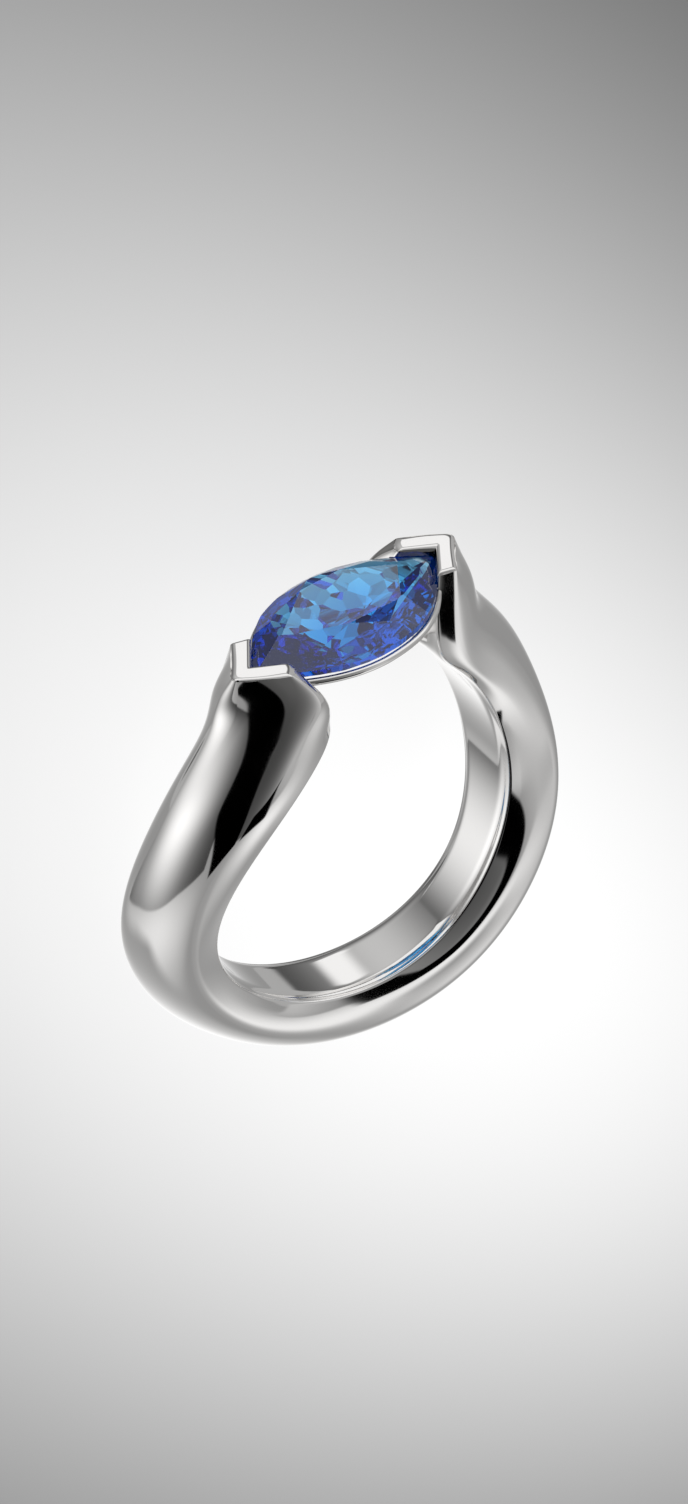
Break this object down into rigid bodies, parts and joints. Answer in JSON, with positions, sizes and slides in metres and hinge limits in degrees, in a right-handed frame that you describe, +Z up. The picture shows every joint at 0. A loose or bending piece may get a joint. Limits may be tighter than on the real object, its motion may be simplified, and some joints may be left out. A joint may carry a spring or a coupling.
{
  "type": "twist ring",
  "caption": "Polished white-metal twist ring; its open band ends in V-shaped heads that hold a blue marquise stone by its points",
  "frame": {"origin": "middle of the finger hole", "axes": "+Z up from the surface it lies on, +Y towards the stone, the finger's axis leans 12.42 degrees from +Z"},
  "size_m": [0.0238, 0.0248, 0.0082],
  "materials": {
    "white_metal": "polished",
    "blue_stone": "polished"
  },
  "bodies": {
    "root": {"ring_body": "white_metal", "stone": "blue_stone"}
  },
  "joints": []
}
